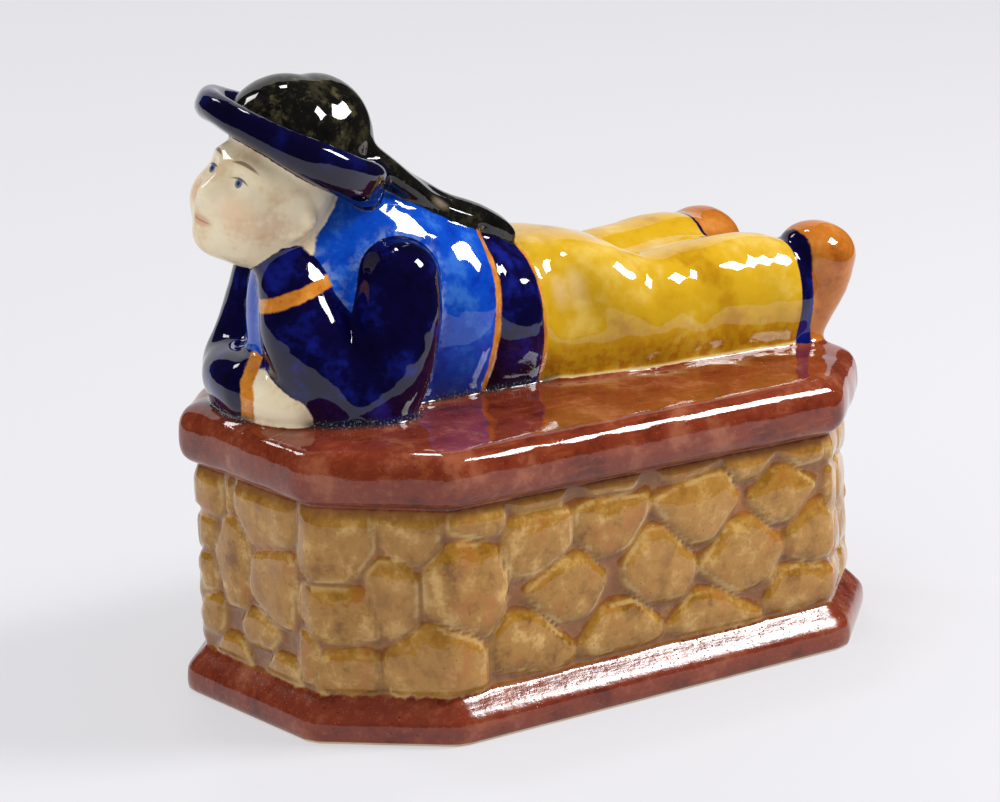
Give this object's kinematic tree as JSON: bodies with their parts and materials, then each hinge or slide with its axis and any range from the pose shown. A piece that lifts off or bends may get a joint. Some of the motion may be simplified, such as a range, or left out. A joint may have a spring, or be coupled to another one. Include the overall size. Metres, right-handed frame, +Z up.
{
  "type": "money box",
  "caption": "Glazed earthenware money box: a lad in a round hat lies on a stone bench, chin on his fist, with a coin slot behind.",
  "frame": {"origin": "centre of the outline on the flat underside, on the surface it stands on", "axes": "+X along the bench from the head of the figure to its feet, +Y to the back with the coin slot, +Z up"},
  "size_m": [0.1475, 0.0882, 0.128],
  "materials": {
    "glazed_earthenware": "glazed earthenware, painted under a clear gloss glaze"
  },
  "bodies": {
    "root": {"money_box_body": "glazed_earthenware"}
  },
  "joints": []
}
